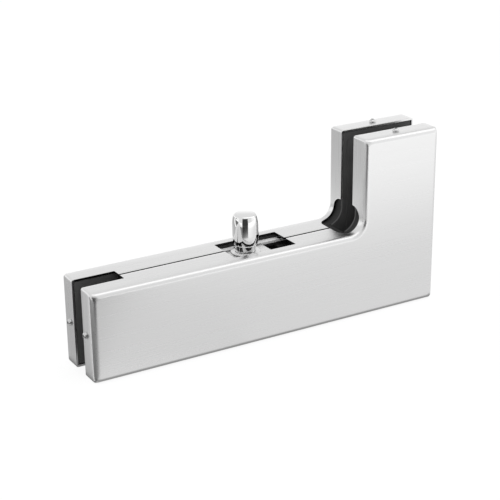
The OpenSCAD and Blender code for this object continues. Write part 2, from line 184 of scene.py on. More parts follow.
class FinishSettings(PropertyGroup):
    """Colours and roughness of the finishes."""

    steel: colour("Brushed steel", "Colour of the brushed covers", 0.80)
    steel_rough: share("Brushed roughness", "Roughness of the brushed covers", 0.30)
    bright: colour("Ground steel", "Colour of the carrier", 0.82)
    bright_rough: share("Ground roughness", "Roughness of the ground steel", 0.24)
    strip: colour("Guide strips", "Colour of the satin guide strips", 0.98)
    strip_rough: share("Strip roughness", "Roughness of the guide strips", 0.45)
    strip_metal: share("Strip metal", "Share of metal shine on the guide strips", 0.0)
    # Painted light and shade on the guide strips: they stay bright in a band along their upper edge and are
    # black below it
    strip_lit_band: length("Strip band", "Height of the bright band along the strips' upper edge", 1.2)
    polish: colour("Polished steel", "Colour of the polished pin", 0.86)
    polish_rough: share("Polished roughness", "Roughness of the polished pin", 0.06)
    zinc: colour("Zinc plate", "Colour of the plated screws and washers", 0.62)
    # The black coat's colour is the clamp bodies' own, and also serves as painted shade on the covers' free
    # edges along the arm's top and on the guide strips below their lit band
    coat: colour("Black coat", "Colour of the coated clamp bodies", 0.03)
    rubber: colour("Gasket", "Colour of the gaskets", 0.10)
    spring: colour("Spring steel", "Colour of the retaining ring", 0.30)
    nylon: colour("Nylon", "Colour of the glass sleeve", 0.82)


class StageSettings(PropertyGroup):
    """Camera, floor and light."""

    yaw: FloatProperty(name="Yaw", description="Turn of the camera about the vertical",
                       default=np.radians(30.49), subtype="ANGLE")
    elevation: FloatProperty(name="Elevation", description="Angle that the camera looks down",
                             default=np.radians(21.15), subtype="ANGLE")
    roll: FloatProperty(name="Roll", description="Roll of the camera",
                        default=np.radians(-0.598), subtype="ANGLE")
    place: FloatVectorProperty(name="Place", description="Where the camera stands",
                               default=(-0.36624, -0.61339, 0.32370), subtype="TRANSLATION")
    lens: FloatProperty(name="Lens", description="Focal length in millimetres", default=98.02)
    ambient: FloatProperty(name="Ambient", description="Level of the light from all round", default=0.78)
    backdrop: FloatProperty(name="Backdrop", description="Tone of the backdrop in reflections", default=0.83)
    horizon: FloatProperty(name="Horizon", description="Tone of the backdrop low down behind, in reflections",
                           default=1.16)
    right: FloatProperty(name="Right", description="Tone of the backdrop at the front right, in reflections",
                         default=1.05)
    floor: FloatProperty(name="Floor", description="Tone of the floor in reflections", default=0.85)
    floor_gain: FloatProperty(name="Floor gain", description="Rise of that tone further to the front",
                              default=0.36)
    # Painted shadow: the floor's tone in reflections falls right under the fitting, standing for its contact
    # shadow
    contact_shadow: share("Contact", "Tone of the floor in reflections right under the fitting", 0.4)
    glow: share("Floor glow", "Share of the floor's white that is its own", 0.86)
    paper: share("Floor shading", "Share of the floor's white that takes shadows", 0.20)
    bounce: share("Floor bounce", "Share of the light that the floor throws back at the fitting", 0.8)
    overhead: FloatProperty(name="Overhead", description="Radiance of the overhead softbox", default=0.55)
    softbox_place: FloatVectorProperty(name="Softbox place", description="Where the overhead softbox hangs",
                                       default=(0.45, -0.20, 0.90), subtype="TRANSLATION")
    softbox_size: FloatVectorProperty(name="Softbox size", description="Length and depth of the softbox",
                                      default=(1.5, 0.5), size=2, unit="LENGTH")
    card: share("Card", "Tone of the dark card in reflections", 0.045)
    card_out: length("Card distance", "Distance of the card from the pivot", 420.0)
    card_width: length("Card width", "Width of the card", 380.0)
    card_height: length("Card height", "Height of the card", 210.0)


# Meshes

# Angle between two faces from which the edge between them shows as a sharp one
CREASE = np.radians(35.0)


def arc(centre, radius, start, end, count=9):
    """Points (r, z) on a circle, from one angle to another, in degrees from +r towards +z."""
    angle = np.radians(np.linspace(start, end, count))
    return np.column_stack([centre[0] + radius * np.cos(angle), centre[1] + radius * np.sin(angle)])


def turned_rows(profile, sides=128):
    """A turned surface: row i is the circle of radius r_i at height z_i, column j its angle."""
    angle = np.linspace(0.0, 2.0 * np.pi, sides, endpoint=False)
    r = profile[:, :1]
    z = np.broadcast_to(profile[:, 1:], (len(profile), sides))
    return np.stack([r * np.cos(angle), r * np.sin(angle), z], axis=-1)


def skin(rows, closed=False):
    """Quads between neighbouring rows, each row a closed loop. The rows close on themselves,
    or the first and last are capped."""
    count, around = rows.shape[:2]
    i = np.arange(count if closed else count - 1)[:, None]
    j = np.arange(around)[None, :]
    beside = (j + 1) % around
    above = (i + 1) % count
    quads = np.stack([i * around + j, i * around + beside,
                      above * around + beside, above * around + j], axis=-1)
    faces = quads.reshape(-1, 4).tolist()
    if not closed:
        faces.append(list(range(around))[::-1])
        faces.append(list(range((count - 1) * around, count * around)))
    return faces


def placed(rows, origin, axis, side):
    """Turns rows made about +Z so that Z lies along axis and X along side, and moves them."""
    across = np.cross(axis, side)
    return origin + rows @ np.array([side, across, axis])


def add_piece(name, points, faces, material, body, node, masks=None):
    """A piece that rides a body, takes a finish and stands for a node. Its masks become
    attributes of its points."""
    mesh = bpy.data.meshes.new(name)
    mesh.from_pydata(points.reshape(-1, 3).tolist(), [], faces)
    for key, mask in (masks or {}).items():
        mesh.attributes.new(key, "FLOAT", "POINT").data.foreach_set("value", mask.ravel())
    mesh.polygons.foreach_set("use_smooth", np.ones(len(mesh.polygons), dtype=bool))
    mesh.set_sharp_from_angle(angle=CREASE)
    mesh.materials.append(material)
    piece = bpy.data.objects.new(name, mesh)
    bpy.context.scene.collection.objects.link(piece)
    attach(piece, body)
    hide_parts(node)


def dress(material, *nodes):
    """Gives CAD nodes a finish."""
    for node in nodes:
        for place in frame["nodes"][node].material_slots:
            place.material = material


def crown(run, drop):
    """Radius of the arc that starts square to a length and falls by drop over it."""
    return (run * run + drop * drop) / (2.0 * drop)


class EllOutline:
    """The L in X and Z: six sides and six corners in turn, anticlockwise from the bottom side.
    A corner's circle is centred on the diagonal, and the hollow corner's centre stays in place."""

    # Numbers of the upright's outer side, its side that faces the arm, the arm's top and its free end
    OUTER, FACING, TOP, END = 2, 6, 8, 10

    def __init__(self, cover):
        left, right = COVER_LOW[0], COVER_HIGH[0]
        low, top = COVER_LOW[2], COVER_HIGH[2]
        self.cover = cover
        self.split = right - cover.upright
        self.corners = np.array([(right, low), (right, top), (self.split, top),
                                 (self.split, cover.arm), (left, cover.arm), (left, low)])
        self.inwards = np.array([(-1, 1), (-1, -1), (1, -1), (-1, 1), (1, -1), (1, 1)])
        self.first = np.radians([270, 0, 90, 0, 90, 180])
        self.sweep = np.radians([90, 90, 90, -90, 90, 90])
        sides = np.arange(12)
        runs = self.point(sides, np.ones(12)) - self.point(sides, np.zeros(12))
        arcs = np.pi / 2 * np.where(self.sweep < 0, cover.inner, cover.corner)
        self.lengths = np.where(sides % 2, np.repeat(arcs, 2), np.linalg.norm(runs, axis=1))
        self.starts = np.concatenate([[0.0], np.cumsum(self.lengths)])

    def point(self, side, along, inset=0.0, radius=None):
        """Points on the numbered sides, a share along each, with the L moved inwards by inset."""
        radius = self.cover.corner if radius is None else radius
        hollow = self.sweep < 0
        reach = np.where(hollow, self.cover.inner, inset + radius)[:, None]
        rounding = np.where(hollow, self.cover.inner + inset, radius)[:, None]
        centre = self.corners + self.inwards * reach
        last = self.first + self.sweep
        starts = centre + rounding * np.column_stack([np.cos(self.first), np.sin(self.first)])
        ends = np.roll(centre + rounding * np.column_stack([np.cos(last), np.sin(last)]), 1, axis=0)
        k = side // 2
        angle = self.first[k] + along * self.sweep[k]
        straight = ends[k] + along[:, None] * (starts[k] - ends[k])
        bent = centre[k] + rounding[k] * np.column_stack([np.cos(angle), np.sin(angle)])
        return np.where((side % 2 == 0)[:, None], straight, bent)

    def side(self, s):
        """Numbers of the sides and corners at the distances s round the outline."""
        return np.clip(np.searchsorted(self.starts, s, side="right") - 1, 0, 11)

    def ring(self, s, y, inset, radius):
        """Points at the distances s round the outline, at depth y."""
        side = self.side(s)
        flat = self.point(side, (s - self.starts[side]) / self.lengths[side], inset, radius)
        return np.column_stack([flat[:, 0], np.broadcast_to(y, len(s)), flat[:, 1]])

    def on_arm(self, x):
        """Distance round the outline of a place on the arm's top."""
        return self.starts[self.TOP] + self.split - self.cover.inner - x

    def on_upright(self, z):
        """Distance round the outline of a place on the upright's side that faces the arm."""
        return self.starts[self.FACING] + COVER_HIGH[2] - self.cover.corner - z

    def stops(self, count=9):
        """Distances at which the corners are sampled."""
        along = np.linspace(0.0, 1.0, count)
        return (self.starts[1:12:2, None] + self.lengths[1::2, None] * along).ravel()


def rim_corners(outline, cover, lean=6.0 * MM):
    """Corners of a cover's free edge, unrolled: distance round the outline, depth, the distance at which
    its grid line meets the bend, and rounding. Lines from a cut's outer corners lean away from the cut."""
    edge, wide = -SLOT, COVER_HIGH[1]
    relief, cut, round_cut = -cover.relief_half, cover.cut_round, cover.relief_round
    high = outline.on_upright(cover.arm + cover.relief_up)
    low = outline.on_arm(outline.split - cover.relief_along)
    window_left = AXIS[0] - cover.window_back
    right, left = outline.on_arm(window_left + cover.window), outline.on_arm(window_left)
    notch = outline.on_arm(COVER_LOW[0] + cover.notch)
    before, total = high - 2 * lean, outline.starts[-1]
    return np.array([
        (0.0, edge, 0.0, 0.0), (before, edge, before, 0.0),
        (high, edge, high - lean / 2, cut), (high, relief, high + lean / 3, round_cut),
        (low, relief, low - lean / 3, round_cut), (low, wide, low + lean, cut),
        (right, wide, right - lean, cut), (right, -WINDOW, right, cut),
        (left, -WINDOW, left, cut), (left, wide, left + lean, cut),
        (notch, wide, notch - lean, cut), (notch, edge, notch, cut),
        (total, edge, total, 0.0),
    ])


def rim_path(corners, stops, spacing=4.0 * MM, arc_step=0.4 * MM, margin=1e-4):
    """Straight runs between the corners, and a quarter arc at each rounded one. A row holds the distance
    round the outline, the depth, the distance on the bend, and the direction away from the sheet."""
    ahead = np.diff(corners[:, :2], axis=0)
    size = np.linalg.norm(ahead, axis=1)
    ahead /= size[:, None]
    rows = []
    for k in range(len(size)):
        here, there = corners[k], corners[k + 1]
        span = np.array([here[3], size[k] - there[3]]) / size[k]
        along = np.linspace(*span, max(2, int(np.ceil(size[k] / spacing)) + 1))
        if ahead[k, 0] > 0.5:
            extra = (stops - here[0]) / size[k]
            inside = (extra > span[0] + margin) & (extra < span[1] - margin)
            along = np.unique(np.round(np.concatenate([along, extra[inside]]), 7))
        if here[3] == 0.0 and k:
            along = along[1:]
        run = here[:3] + along[:, None] * (there - here)[:3]
        rows.append(np.column_stack([run, np.tile([-ahead[k, 1], ahead[k, 0]], (len(run), 1))]))
        if there[3] > 0.0:
            back, on = -ahead[k], ahead[k + 1]
            turn = np.linspace(0.0, np.pi / 2, max(5, int(there[3] / arc_step)))[1:-1, None]
            place = there[:2] + there[3] * (back * (1.0 - np.sin(turn)) + on * (1.0 - np.cos(turn)))
            tangent = on * np.sin(turn) - back * np.cos(turn)
            rate = (corners[k + 2, 2] - there[2]) / size[k + 1]
            base = run[-1, 2] + turn / (np.pi / 2) * (there[2] + there[3] * rate - run[-1, 2])
            rows.append(np.column_stack([place, base, -tangent[:, 1], tangent[:, 0]]))
    return np.vstack(rows)[:-1]


def cover_rows(cover, bend_steps=9, edge_steps=4, flange_rows=(0.3, 0.6, 0.9), guard=0.4 * MM):
    """A pressed cover as rings round the L: face, bend, flange, deburred free edge, and back inside.
    A ring of the bend lies inwards by r (1 - cos a) and forwards by r sin a. The flange is ruled between
    the bend and the free edge, and the free edge is rounded off on both sides of the sheet. The masks
    that come with the rings mark the free edges along the arm's top, which are painted black as shade
    for the narrow gap between the covers, and the flanges that look along X, which are brushed upright."""
    outline = EllOutline(cover)
    s, y, base, away_s, away_y = rim_path(rim_corners(outline, cover), outline.stops()).T
    face = COVER_LOW[1]
    fold = face + cover.bend
    inner_bend = cover.bend - cover.sheet
    inner_corner = cover.corner - cover.sheet
    growth = cover.face_corner - cover.corner
    angles = np.linspace(0.0, np.pi / 2, bend_steps)

    def bend(radius, inset, corner):
        rings = [outline.ring(base, fold - radius * np.sin(a), inset + radius * (1.0 - np.cos(a)),
                              corner + growth * np.sin(a)) for a in angles]
        rings.append(outline.ring(base, fold - radius, inset + radius + guard, corner + growth))
        return rings

    def flange(inset, corner):
        end_s, end_y = s - cover.deburr * away_s, y - cover.deburr * away_y
        return [outline.ring(base + f * (end_s - base), fold + f * (end_y - fold), inset, corner)
                for f in flange_rows]

    def edge(side):
        rings = []
        for a in np.linspace(0.0, np.pi / 2, edge_steps):
            back = cover.deburr * (1.0 - np.sin(a))
            deep = cover.deburr * (1.0 - np.cos(a))
            inset = deep if side == "outer" else cover.sheet - deep
            rings.append(outline.ring(s - back * away_s, y - back * away_y, inset, cover.corner - inset))
        return rings

    outside = bend(cover.bend, 0.0, cover.corner)[::-1] + flange(0.0, cover.corner) + edge("outer")
    inside = edge("inner")[::-1] + flange(cover.sheet, inner_corner)[::-1]
    rings = np.stack(outside + inside + bend(inner_bend, cover.sheet, inner_corner))
    middle = len(outside)
    black, upright = np.zeros((2, *rings.shape[:2]))
    relief_top = outline.on_upright(cover.arm + cover.relief_up)
    # Painted shade: the free edge along the arm's top is marked black, standing for the shade in the narrow
    # gap between the covers
    black[middle - 2:middle + 2] = (s > relief_top) & (s < outline.starts[outline.TOP + 1])
    half_bend = bend_steps // 2 + 1
    ends = (outline.OUTER, outline.FACING, outline.END)
    upright[half_bend:len(rings) - half_bend] = np.isin(outline.side(base), ends)
    return rings, {"gap_shade_edge": black, "brushed_upright": upright}


def pin_profile(pin):
    """Half section of the pin from its lower end to its top: chamfered shank with the ring's groove,
    shoulder, neck, and a barrel made of an arc, a straight land and an arc."""
    top = PIN_HIGH[2]
    widest = (PIN_HIGH[0] - PIN_LOW[0]) / 2
    shank, neck, foot, head = pin.shank / 2, pin.neck / 2, pin.foot / 2, pin.head / 2
    shoulder = BUSH_HIGH[2] + pin.end_play
    base = top - pin.barrel
    ends = (pin.barrel - pin.land) / 2
    low_arc = crown(ends, widest - foot)
    high_arc = crown(ends, widest - head)
    low_end = np.degrees(np.arcsin((ends - pin.foot_round) / low_arc))
    high_end = np.degrees(np.arcsin((ends - pin.head_round) / high_arc))
    low_r = widest - low_arc * (1.0 - np.cos(np.radians(low_end)))
    high_r = widest - high_arc * (1.0 - np.cos(np.radians(high_end)))
    cut = pin.chamfer
    return np.vstack([
        [(shank - 2 * cut, PIN_LOW[2]), (shank, PIN_LOW[2] + 2 * cut)],
        [(shank, RING_LOW[2]), (shank - pin.groove, RING_LOW[2])],
        [(shank - pin.groove, RING_HIGH[2]), (shank, RING_HIGH[2])],
        [(shank, shoulder), (neck - cut, shoulder), (neck, shoulder + cut)],
        arc((neck + cut, base - cut), cut, 180.0, 90.0, count=5),
        arc((low_r - pin.foot_round, base + pin.foot_round), pin.foot_round, -90.0, -low_end),
        arc((widest - low_arc, base + ends), low_arc, -low_end, 0.0, count=17),
        arc((widest - high_arc, top - ends), high_arc, 0.0, high_end, count=17),
        arc((high_r - pin.head_round, top - pin.head_round), pin.head_round, high_end, 90.0, count=11),
    ])


def bush_profile(pin):
    """Half section of the flanged bush, once round: outside up, flange, and down the bore."""
    bore = pin.shank / 2 + pin.running
    outer = pin.bush / 2
    flange = (BUSH_HIGH[0] - BUSH_LOW[0]) / 2
    low, high = BUSH_LOW[2], BUSH_HIGH[2]
    under = high - pin.flange
    cut = pin.chamfer
    return np.vstack([
        [(outer - cut, low), (outer, low + cut), (outer, under), (flange, under)],
        arc((flange - cut, high - cut), cut, 0.0, 90.0, count=7),
        [(bore + cut, high), (bore, high - cut), (bore, low)],
    ])


def screw_rows(screw, sides=48, steps=8, crest=0.1, flank=0.4, mouth=0.6, drill=0.25):
    """A screw along +Z. The shank's radius falls from crest to root with the wave of z / pitch - angle,
    where crest and flank are shares of the pitch, and its tip is chamfered. The head is a rim and a dome.
    The last rows go down into its socket, whose round mouth and drill point are shares of its width."""
    radius = screw.diameter / 2
    head = radius + screw.lip
    high = COVER_LOW[0] - SCREW_LOW[0]
    angle = np.linspace(0.0, 2.0 * np.pi, sides, endpoint=False)
    z = np.linspace(0.0, screw.body, int(screw.body / screw.pitch) * steps + 1)[:, None]
    phase = (z / screw.pitch - angle / (2.0 * np.pi)) % 1.0
    wave = np.clip((np.abs(phase - 0.5) - crest / 2) / flank, 0.0, 1.0)
    shank = np.minimum(radius - screw.depth * wave, radius - 2 * screw.chamfer + z)
    dome = crown(head, high - screw.rim)
    low_end = np.degrees(np.arcsin((screw.rim - high + dome) / dome))
    high_end = np.degrees(np.arccos(mouth * screw.socket / dome))
    cap = np.vstack([
        [(head - screw.chamfer, 0.0), (head, screw.chamfer)],
        arc((0.0, high - dome), dome, low_end, high_end, count=13),
    ])
    sixth = np.pi / 3.0
    flat = screw.socket / 2 * np.cos(sixth / 2)
    hexagon = flat / np.cos((angle % sixth) - sixth / 2)
    floor = cap[-1, 1] - screw.socket_depth
    r = np.vstack([shank, np.repeat(cap[:, :1], sides, axis=1), hexagon, hexagon, hexagon * drill])
    heights = np.concatenate([cap[:, 1], [cap[-1, 1], floor, floor - drill * screw.socket]])
    z = np.vstack([z, screw.body + heights[:, None]])
    return np.stack([r * np.cos(angle), r * np.sin(angle), np.broadcast_to(z, r.shape)], axis=-1)


# Shader nodes

# Range that a noise mask mostly keeps to
NOISE_SPAN = (0.3, 0.7)


def grey(level):
    """A neutral colour with its alpha."""
    return (level, level, level, 1.0)


def add_node(tree, kind, sockets=None, **settings):
    """A shader node with its settings and the values of its unlinked sockets."""
    made = tree.nodes.new(kind)
    for key, value in settings.items():
        setattr(made, key, value)
    for key, value in (sockets or {}).items():
        made.inputs[key].default_value = value
    return made


def feed(tree, given, socket):
    """Links an output to a socket, or gives the socket a plain value."""
    if isinstance(given, bpy.types.NodeSocket):
        tree.links.new(given, socket)
    else:
        socket.default_value = given


def combine(tree, operation, *given):
    """A math node with each input an output or a number."""
    made = add_node(tree, "ShaderNodeMath", operation=operation)
    for socket, value in zip(made.inputs, given):
        feed(tree, value, socket)
    return made.outputs[0]


def mix(tree, kind, factor, first, second):
    """A mix of two floats or of two colours, through the sockets that the Mix node has for that kind."""
    made = add_node(tree, "ShaderNodeMix", data_type=kind)
    for socket, value in zip([k for k in made.inputs if k.enabled], (factor, first, second)):
        feed(tree, value, socket)
    return next(k for k in made.outputs if k.enabled)


def choose(tree, mask, first, second):
    """The first shader, or the second one where the mask is 1."""
    made = add_node(tree, "ShaderNodeMixShader")
    for socket, given in zip(made.inputs, (mask, first, second)):
        tree.links.new(given, socket)
    return made.outputs[0]


def ray_kinds(tree):
    """Masks of the camera's own rays and of the rays in reflections and glass."""
    path = add_node(tree, "ShaderNodeLightPath").outputs
    return path["Is Camera Ray"], combine(tree, "MAXIMUM", path["Is Glossy Ray"], path["Is Transmission Ray"])


def map_range(tree, value, span, first, last, kind="SMOOTHSTEP"):
    """A step from first to last, smooth or linear, as a value goes through a span."""
    made = add_node(tree, "ShaderNodeMapRange", {"From Min": span[0], "From Max": span[1], "To Min": first,
                                                 "To Max": last}, interpolation_type=kind)
    tree.links.new(value, made.inputs["Value"])
    return made.outputs[0]


def split(tree, vector):
    """The X, Y and Z of a vector, as outputs."""
    made = add_node(tree, "ShaderNodeSeparateXYZ")
    tree.links.new(vector, made.inputs[0])
    return made.outputs


def distance(tree, vector):
    """The length of a vector, as an output."""
    made = add_node(tree, "ShaderNodeVectorMath", operation="LENGTH")
    tree.links.new(vector, made.inputs[0])
    return made.outputs["Value"]


def new_group(name, inputs, outputs):
    """An empty shader node group with float sockets, plus a Vector input."""
    group = bpy.data.node_groups.new(name, "ShaderNodeTree")
    group.interface.new_socket("Vector", in_out="INPUT", socket_type="NodeSocketVector")
    for key, default in inputs.items():
        socket = group.interface.new_socket(key, in_out="INPUT", socket_type="NodeSocketFloat")
        socket.default_value = default
    for key in outputs:
        group.interface.new_socket(key, in_out="OUTPUT", socket_type="NodeSocketFloat")
    return group, group.nodes.new("NodeGroupInput"), group.nodes.new("NodeGroupOutput")


def brush_lines_group():
    """Brush lines: noise drawn out along X, or along Z where the piece's own mask says so."""
    group, given, out = new_group("brush_lines", {"Across": 2000.0, "Along": 9.0}, ("Streak",))
    upright = add_node(group, "ShaderNodeAttribute", attribute_name="brushed_upright")
    noises = []
    for along in ("X", "Z"):
        scale = add_node(group, "ShaderNodeCombineXYZ")
        for axis in "XYZ":
            group.links.new(given.outputs["Along" if axis == along else "Across"], scale.inputs[axis])
        stretch = add_node(group, "ShaderNodeVectorMath", operation="MULTIPLY")
        group.links.new(given.outputs["Vector"], stretch.inputs[0])
        group.links.new(scale.outputs[0], stretch.inputs[1])
        noise = add_node(group, "ShaderNodeTexNoise", {"Scale": 1.0, "Detail": 4.0, "Roughness": 0.7})
        group.links.new(stretch.outputs[0], noise.inputs["Vector"])
        noises.append(noise.outputs[0])
    group.links.new(mix(group, "FLOAT", upright.outputs["Fac"], *noises), out.inputs["Streak"])


def fine_grain_group():
    """Grain: fine noise for bump, and broad noise for uneven tone."""
    group, given, out = new_group("fine_grain", {"Fine": 2500.0, "Broad": 60.0}, ("Grain", "Cloud"))
    for scale, detail, socket in (("Fine", 2.0, "Grain"), ("Broad", 3.0, "Cloud")):
        noise = add_node(group, "ShaderNodeTexNoise", {"Detail": detail})
        group.links.new(given.outputs["Vector"], noise.inputs["Vector"])
        group.links.new(given.outputs[scale], noise.inputs["Scale"])
        group.links.new(noise.outputs[0], out.inputs[socket])


def turned_rings_group():
    """Lathe rings: noise of the distance from the axis and of the height."""
    group, given, out = new_group("turned_rings", {"Pitch": 3000.0}, ("Rings",))
    centre = add_node(group, "ShaderNodeMapping", {"Location": (-AXIS[0], -AXIS[1], 0.0)})
    parts = split(group, centre.outputs[0])
    flat = add_node(group, "ShaderNodeCombineXYZ")
    ring = add_node(group, "ShaderNodeCombineXYZ")
    noise = add_node(group, "ShaderNodeTexNoise", {"Detail": 2.0})
    group.links.new(given.outputs["Vector"], centre.inputs["Vector"])
    group.links.new(parts["X"], flat.inputs["X"])
    group.links.new(parts["Y"], flat.inputs["Y"])
    group.links.new(distance(group, flat.outputs[0]), ring.inputs["X"])
    group.links.new(parts["Z"], ring.inputs["Y"])
    group.links.new(ring.outputs[0], noise.inputs["Vector"])
    group.links.new(given.outputs["Pitch"], noise.inputs["Scale"])
    group.links.new(noise.outputs[0], out.inputs["Rings"])


def effect(tree, group, **values):
    """A node group in a material, on the piece's Object coordinates."""
    place = add_node(tree, "ShaderNodeTexCoord")
    made = add_node(tree, "ShaderNodeGroup", node_tree=bpy.data.node_groups[group])
    for key, value in values.items():
        made.inputs[key].default_value = value
    tree.links.new(place.outputs["Object"], made.inputs["Vector"])
    return made


# Finishes

def finish(name, metallic):
    """A material with its Principled shader."""
    material = bpy.data.materials.new(name)
    material.use_nodes = True
    shader = material.node_tree.nodes["Principled BSDF"]
    shader.inputs["Metallic"].default_value = metallic
    return material, material.node_tree, shader


def vary_colour(tree, shader, mask, base, spread):
    """Base colour, from darker to lighter by spread as a mask goes from low to high."""
    ramp = add_node(tree, "ShaderNodeValToRGB")
    for stop, place, factor in zip(ramp.color_ramp.elements, NOISE_SPAN, (1.0 - spread, 1.0 + spread)):
        stop.position = place
        stop.color = (*(min(1.0, c * factor) for c in base), 1.0)
    tree.links.new(mask, ramp.inputs["Fac"])
    tree.links.new(ramp.outputs["Color"], shader.inputs["Base Color"])
    return ramp.outputs["Color"]


def vary_roughness(tree, shader, mask, base, spread):
    """Roughness, around base by spread as a mask goes from low to high."""
    rough = map_range(tree, mask, NOISE_SPAN, base - spread, base + spread, kind="LINEAR")
    tree.links.new(rough, shader.inputs["Roughness"])


def raise_bump(tree, shader, height, depth, strength):
    """A bump of a given depth in metres."""
    bump = add_node(tree, "ShaderNodeBump", {"Strength": strength, "Distance": depth})
    tree.links.new(height, bump.inputs["Height"])
    tree.links.new(bump.outputs[0], shader.inputs["Normal"])


def brushed_steel(finishes):
    """Satin stainless sheet with brush lines, black where the mask marks the free edge along the arm's top:
    painted shade for the narrow gap between the covers.
    """
    material, tree, shader = finish("brushed_cover", metallic=1.0)
    streak = effect(tree, "brush_lines", Across=2000.0, Along=9.0).outputs["Streak"]
    sheet = vary_colour(tree, shader, streak, finishes.steel, spread=0.015)
    # Painted shade: where the mask is 1 the sheet takes the black coat's colour, standing for the shade in
    # the gap between the covers
    mark = add_node(tree, "ShaderNodeAttribute", attribute_name="gap_shade_edge")
    gap_shaded = mix(tree, "RGBA", mark.outputs["Fac"], sheet, (*finishes.coat, 1.0))
    tree.links.new(gap_shaded, shader.inputs["Base Color"])
    vary_roughness(tree, shader, streak, finishes.steel_rough, spread=0.05)
    raise_bump(tree, shader, streak, depth=0.01 * MM, strength=0.15)
    return material


def ground_steel(name, base, rough, metallic, black=None, below=0.0, fade=0.3 * MM):
    """Bright steel with close grinding lines. A black, if one is given, covers what lies below a height:
    painted shade under a lit band along the top.
    """
    material, tree, shader = finish(name, metallic)
    streak = effect(tree, "brush_lines", Across=2500.0, Along=120.0).outputs["Streak"]
    tone = vary_colour(tree, shader, streak, base, spread=0.03)
    # Painted shade: below the height the tone turns black, so that only a lit band along the top stays bright
    if black is not None:
        place = add_node(tree, "ShaderNodeTexCoord")
        height = split(tree, place.outputs["Object"])["Z"]
        bright = map_range(tree, height, (below - fade, below), 0.0, 1.0)
        lit_band_over_shade = mix(tree, "RGBA", bright, (*black, 1.0), tone)
        tree.links.new(lit_band_over_shade, shader.inputs["Base Color"])
    vary_roughness(tree, shader, streak, rough, spread=0.05)
    raise_bump(tree, shader, streak, depth=0.01 * MM, strength=0.3)
    return material


def turned_steel(name, base, rough, depth):
    """Steel with lathe rings round the pivot."""
    material, tree, shader = finish(name, metallic=1.0)
    rings = effect(tree, "turned_rings", Pitch=3000.0).outputs["Rings"]
    vary_colour(tree, shader, rings, base, spread=0.02)
    vary_roughness(tree, shader, rings, rough, spread=min(rough, 0.04))
    raise_bump(tree, shader, rings, depth, strength=0.3)
    return material


def plated_steel(name, base, rough):
    """Plated steel with a fine uneven bloom."""
    material, tree, shader = finish(name, metallic=1.0)
    grain = effect(tree, "fine_grain", Fine=1800.0, Broad=250.0)
    vary_colour(tree, shader, grain.outputs["Cloud"], base, spread=0.08)
    vary_roughness(tree, shader, grain.outputs["Cloud"], rough, spread=0.08)
    raise_bump(tree, shader, grain.outputs["Grain"], depth=0.01 * MM, strength=0.3)
    return material


def matt_coat(name, base, rough, depth, fine, specular=0.25):
    """A matt non-metal with fine grain, such as a coat, rubber or nylon."""
    material, tree, shader = finish(name, metallic=0.0)
    shader.inputs["Specular IOR Level"].default_value = specular
    grain = effect(tree, "fine_grain", Fine=fine, Broad=90.0)
    vary_colour(tree, shader, grain.outputs["Cloud"], base, spread=0.12)
    vary_roughness(tree, shader, grain.outputs["Cloud"], rough, spread=0.06)
    raise_bump(tree, shader, grain.outputs["Grain"], depth, strength=0.5)
    return material


# Stage

# Half width of the floor, and how far it lies below the fitting
FLOOR_HALF = 4.0
FLOOR_GAP = 0.1 * MM
# Tones of the floor in reflections round the arm's lower left corner: degrees from the front towards
# the left, and the share of the brightest tone
FLOOR_TONES = ((-180, 0.46), (-160, 0.54), (-145, 0.95), (-112, 0.95), (-92, 0.70), (-35, 0.69), (-22, 0.58),
               (-3, 0.40), (17, 0.31), (37, 0.22), (60, 0.17), (128, 0.15), (133, 0.92), (146, 0.92),
               (153, 0.36), (165, 0.40), (180, 0.46))
BRIGHTEST = 1.2
# Metres from that corner over which the tones level off, away from it and towards the front, and over
# which the level then rises
LEVEL_AWAY = (0.13, 0.18)
LEVEL_FRONT = (-0.08, -0.03)
RISE_FRONT = (0.08, 0.24)
# Distance from the fitting's outline over which the painted contact shadow in the floor's reflected tone ends
CONTACT_SHADOW_GAP = (0.5 * MM, 4.0 * MM)
# The dark wedge in front of the pin: angle from its middle line, metres from the pivot, and its depth
WEDGE_TURN = (np.radians(21.0), np.radians(27.0))
WEDGE_AWAY = (0.132, 0.188)
WEDGE_DARK = 0.95
# Parts of a direction over which the backdrop's tone changes: upwards behind, to the right in front, and
# from the front to the back
HORIZON_UP = (0.26, 0.36)
RIGHT_ACROSS = (0.38, 0.58)
FRONT_TO_BACK = (-0.2, 0.2)


def softbox(name, place, size, radiance):
    """A rectangular lamp of even radiance that looks straight down."""
    lamp = bpy.data.lights.new(name, "AREA")
    lamp.shape = "RECTANGLE"
    lamp.size, lamp.size_y = size
    lamp.energy = radiance * np.pi * size[0] * size[1]
    box = bpy.data.objects.new(name, lamp)
    box.matrix_world = Matrix.Translation(place)
    box.visible_camera = False
    bpy.context.scene.collection.objects.link(box)


def stage_sheet(name, centre, along, across, material):
    """A flat stage sheet: centre plus u times along plus v times across, for u and v in -1 and 1."""
    u, v = np.meshgrid([-1.0, 1.0], [-1.0, 1.0], indexing="ij")
    points = np.array(centre) + u[..., None] * np.array(along) + v[..., None] * np.array(across)
    mesh = bpy.data.meshes.new(name)
    mesh.from_pydata(points.reshape(-1, 3).tolist(), [], [(0, 2, 3, 1)])
    mesh.materials.append(material)
    sheet = bpy.data.objects.new(name, mesh)
    bpy.context.scene.collection.objects.link(sheet)
    return sheet


